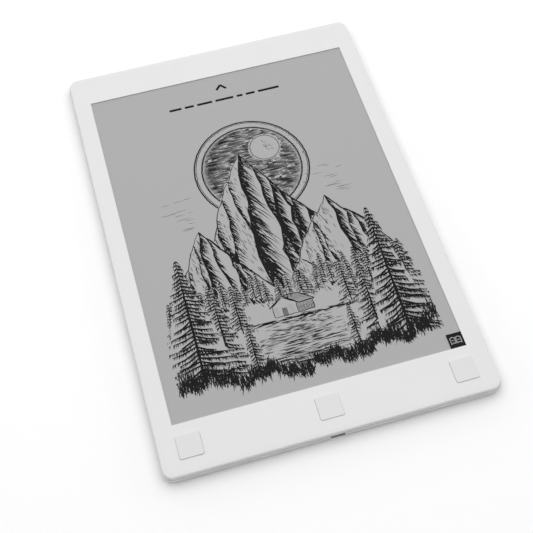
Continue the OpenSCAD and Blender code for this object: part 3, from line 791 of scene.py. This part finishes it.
MOON_X, MOON_Y, MOON_R = 13, 45, 8.5
pen(ring(MOON_X, MOON_Y, MOON_R, 0, 360, 1.0, 0.04), 0.5, 1, 1)
for _ in range(CRATERS):
    turn, out = chance.uniform(0, 2 * math.pi), MOON_R * chance.uniform(0.15, 0.7)
    cx, cy = MOON_X + out * math.cos(turn), MOON_Y + out * math.sin(turn)
    pen(ring(cx, cy, chance.uniform(0.7, 1.8), 120, 330, 0.6, 0.03), 0.34, 0.5, 0.5)
for _ in range(MOON_TICKS):
    turn = math.radians(-45 + chance.gauss(0, 28))
    r = MOON_R * chance.uniform(0.68, 0.97)
    px, py = MOON_X + r * math.cos(turn), MOON_Y + r * math.sin(turn)
    pen([(px - 0.9, py - 0.9), (px + 0.3, py + 0.3)], 0.26, 0.6, 0.3)
hide_behind(ring(MOON_X, MOON_Y, MOON_R + 0.7))
for _ in range(STARS):
    cx, cy = SKY_X + chance.uniform(-27, 27), SKY_Y + chance.uniform(-20, 27)
    hide_behind(ring(cx, cy, chance.uniform(0.5, 0.9), step=0.4))

ROW = 0.76  # between two rows of the hatching
y = SKY_Y - SKY_R
while y < SKY_Y + SKY_R:
    half = math.sqrt(max(0, (SKY_R - RIM - 1.1) ** 2 - (y - SKY_Y) ** 2))
    x = SKY_X - half
    while x < SKY_X + half:
        end = min(x + chance.uniform(5, 19), SKY_X + half)
        if end - x > 0.8:
            pen(line((x, y + chance.gauss(0, 0.05)), (end, y + chance.gauss(0, 0.05)), 1.0),
                chance.uniform(0.66, 0.92), 0.5, 0.5)
        x = end + chance.uniform(0.2, 0.8)
    y += ROW
WISPS = 16  # of thin cloud on either side of the disc
for side in (-1, 1):
    for _ in range(WISPS):
        x, y = side * chance.uniform(38, 52), chance.uniform(2, 24)
        start = (x - chance.uniform(2, 7), y)
        wisp = line(start, (x + chance.uniform(2, 7), y + chance.gauss(0, 0.3)), 1.4)
        pen(wisp, 0.32, 0.1, 0.1)
ink_sky = strokes
strokes = []
print("sky:", len(ink_sky), "strokes")

# %% [markdown]
# ## From strokes to ink
# A stroke becomes a ribbon. A flat curve with a bevel profile does this well: the profile is a low
# triangle one millimetre wide, and each point's radius scales it to the stroke's width there. The
# curves are turned into meshes, because a mesh can be laid on the film and kept at the origin.

# %% Ribbon profile and ink
INK_HIGH = 0.03  # of a ribbon's width
SINK = 0.000004  # how far a ribbon's flat back sits in the film, so that no gap shows


def curve_from(name, runs, closed=False):
    """A flat curve object with one straight-sided spline for each run of (x, y, width)."""
    data = bpy.data.curves.new(name, "CURVE")
    data.dimensions = "2D"
    data.fill_mode = "NONE"
    for run in runs:
        spline = data.splines.new("POLY")
        spline.points.add(len(run) - 1)
        spline.points.foreach_set("co", [c for x, y, _ in run for c in (x * MM, y * MM, 0, 1)])
        spline.points.foreach_set("radius", [w for _, _, w in run])
        spline.use_cyclic_u = closed
    curve = bpy.data.objects.new(name, data)
    bpy.context.collection.objects.link(curve)
    return curve


profile = curve_from("nib", [[(-0.5, 0, 1), (0.5, 0, 1), (0, INK_HIGH, 1)]], closed=True)

tree, shader = new_material("ink_black", (0.008, 0.008, 0.0085), 0.6)
capsules = add(tree, "ShaderNodeTexNoise", Scale=1600.0, Detail=2.0)
tree.links.new(place(tree), capsules.inputs["Vector"])
tone = mix_colors(tree, capsules.outputs["Fac"], (0.005, 0.005, 0.0055), (0.012, 0.012, 0.0125))
tree.links.new(tone, shader.inputs["Base Color"])
shader.inputs["Specular IOR Level"].default_value = 0.12  # ink in a matte film hardly shines

# %% Laying the ink on the film
film_top = film_hi[2]
page_x = (film_lo[0] + film_hi[0]) / 2
page_y = (film_lo[1] + film_hi[1]) / 2


def alone(piece):
    """Selects one object and makes it active."""
    bpy.ops.object.select_all(action="DESELECT")
    piece.select_set(True)
    bpy.context.view_layer.objects.active = piece


def lay(piece, height=0.0):
    """Puts a flat mesh on the film or above it, and leaves its object at the origin."""
    alone(piece)
    piece.location = (page_x, page_y, film_top - SINK + height)
    bpy.ops.object.transform_apply(location=True, rotation=False, scale=False)
    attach(piece, "case")


def print_ink(name, runs, look=finish["ink_black"], height=0.0):
    """Turns strokes into one named piece on the film."""
    curve = curve_from(name, runs)
    curve.data.bevel_mode = "OBJECT"
    curve.data.bevel_object = profile
    curve.data.use_fill_caps = True
    alone(curve)
    bpy.ops.object.convert(target="MESH")
    piece = bpy.context.object
    piece.data.materials.clear()
    piece.data.materials.append(look)
    lay(piece, height)
    print(name, len(piece.data.polygons), "faces")


print_ink("ink_bank", ink_bank)
print_ink("ink_wood", ink_wood)
print_ink("ink_peaks", ink_peaks)
print_ink("ink_sky", ink_sky)

# %% [markdown]
# ## The system marks
# The reader prints a few marks of its own over the page: an arrow head that points to the power
# key, a line of plain bars where a message would stand, and a small black tile with an open book
# in the corner. They are flat printed shapes without lettering.

# %% Arrow head and message bars
ARROW_X, ARROW_Y = -0.2, 96.1
ARROW_HALF, ARROW_DROP, ARROW_TIP = 3.0, 2.9, 0.4
print_ink("arrow_mark", [[(ARROW_X - ARROW_HALF, ARROW_Y - ARROW_DROP, 1.5),
                          (ARROW_X - ARROW_TIP, ARROW_Y, 1.6), (ARROW_X + ARROW_TIP, ARROW_Y, 1.6),
                          (ARROW_X + ARROW_HALF, ARROW_Y - ARROW_DROP, 1.5)]])

BAR_Y, BAR_X0, BAR_X1 = 85.6, -34.1, 33.6
BAR_HIGH, BAR_END, BAR_GAP = 1.7, 0.5, 2.0
BAR_SHARES = (4, 3, 5, 6, 2, 3, 7)
inked = BAR_X1 - BAR_X0 - (len(BAR_SHARES) - 1) * BAR_GAP
bars = []
x = BAR_X0
for share in BAR_SHARES:
    long = inked * share / sum(BAR_SHARES)
    bars.append([(x, BAR_Y, BAR_HIGH * 0.7), (x + BAR_END, BAR_Y, BAR_HIGH),
                 (x + long - BAR_END, BAR_Y, BAR_HIGH), (x + long, BAR_Y, BAR_HIGH * 0.7)])
    x += long + BAR_GAP
print_ink("message_bars", bars)

# %% Corner tile with an open book
TILE_X, TILE_Y, TILE = 73.9, -100.0, 8.2
TILE_HIGH = 0.00001
TILE_EDGE = 0.25
bpy.ops.object.select_all(action="DESELECT")
bpy.ops.mesh.primitive_cube_add(size=1, location=(TILE_X * MM, TILE_Y * MM, TILE_HIGH / 2))
tile = bpy.context.object
tile.name = "corner_tile"
tile.scale = (TILE * MM, TILE * MM, TILE_HIGH)
bpy.ops.object.transform_apply(location=True, rotation=False, scale=True)
bpy.ops.object.mode_set(mode="EDIT")
bpy.ops.mesh.select_all(action="SELECT")
bpy.ops.mesh.bevel(offset=TILE_EDGE * MM, segments=3, affect="EDGES")
bpy.ops.object.mode_set(mode="OBJECT")
tile.data.materials.append(finish["ink_black"])
lay(tile)
LEAF = [(0.35, -1.5), (0.35, 1.7), (1.6, 2.1), (2.8, 1.6), (2.8, -1.6), (1.6, -1.1), (0.35, -1.5)]
PAGE_LINE = [(1.0, 0.3), (2.2, 0.3)]
for name, side in (("book_left", -1), ("book_right", 1)):
    page = [[(TILE_X + side * dx, TILE_Y + dy, width) for dx, dy in run]
            for run, width in ((LEAF, 0.55), (PAGE_LINE, 0.5))]
    print_ink(name, page, finish["screen_film"], TILE_HIGH)
bpy.data.objects.remove(profile)
